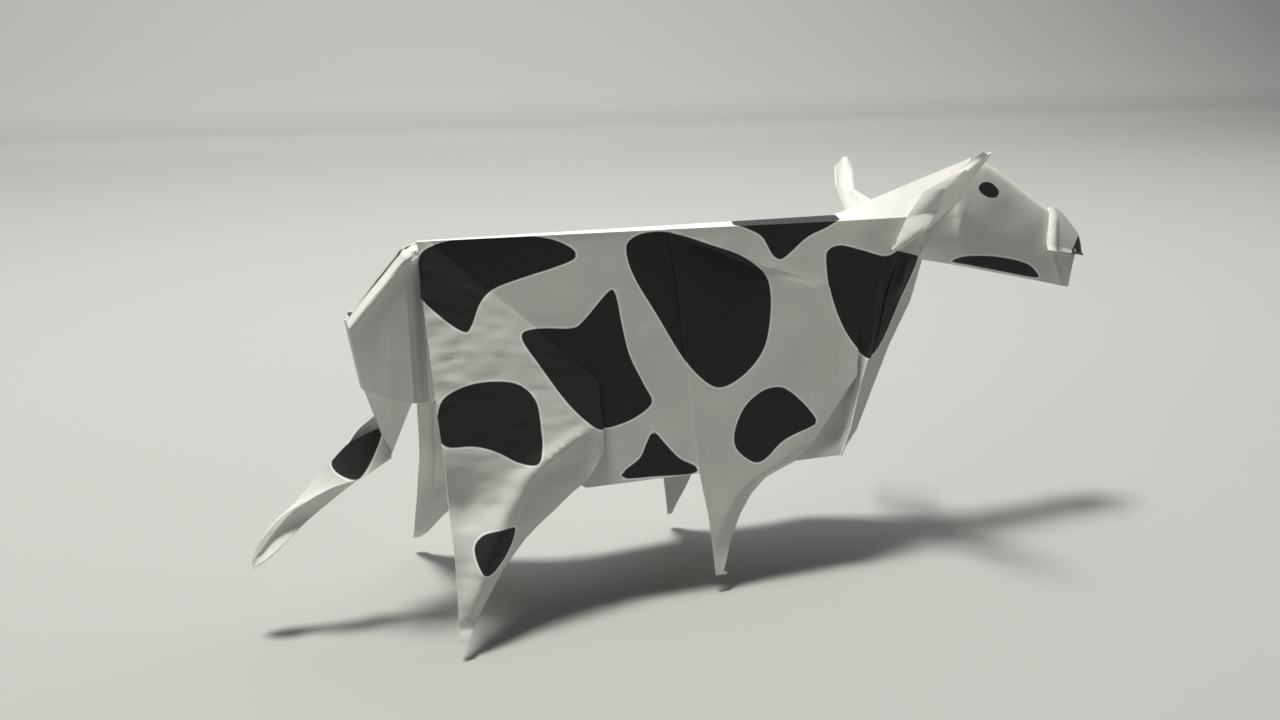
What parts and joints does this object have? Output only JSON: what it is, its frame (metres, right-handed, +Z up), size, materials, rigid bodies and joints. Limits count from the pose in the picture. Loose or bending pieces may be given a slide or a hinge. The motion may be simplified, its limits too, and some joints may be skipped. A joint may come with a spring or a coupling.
{
  "type": "origami cow",
  "caption": "Folded paper cow standing on its pointed feet, an upside-down V of one creased sheet with flap legs, leaf ears, a pleated nose and a flicked-back tail",
  "frame": {"origin": "centre of the bounding box, on the floor under the feet", "axes": "+X towards the nose, +Y to the cow's left, +Z up; the pictured side is -Y"},
  "size_m": [0.188, 0.0498, 0.0846],
  "materials": {
    "paper": "matte white copy paper printed with near-black patches, an eye and a nostril on its outer side"
  },
  "bodies": {
    "root": {"folded_sheet": "paper"}
  },
  "joints": []
}
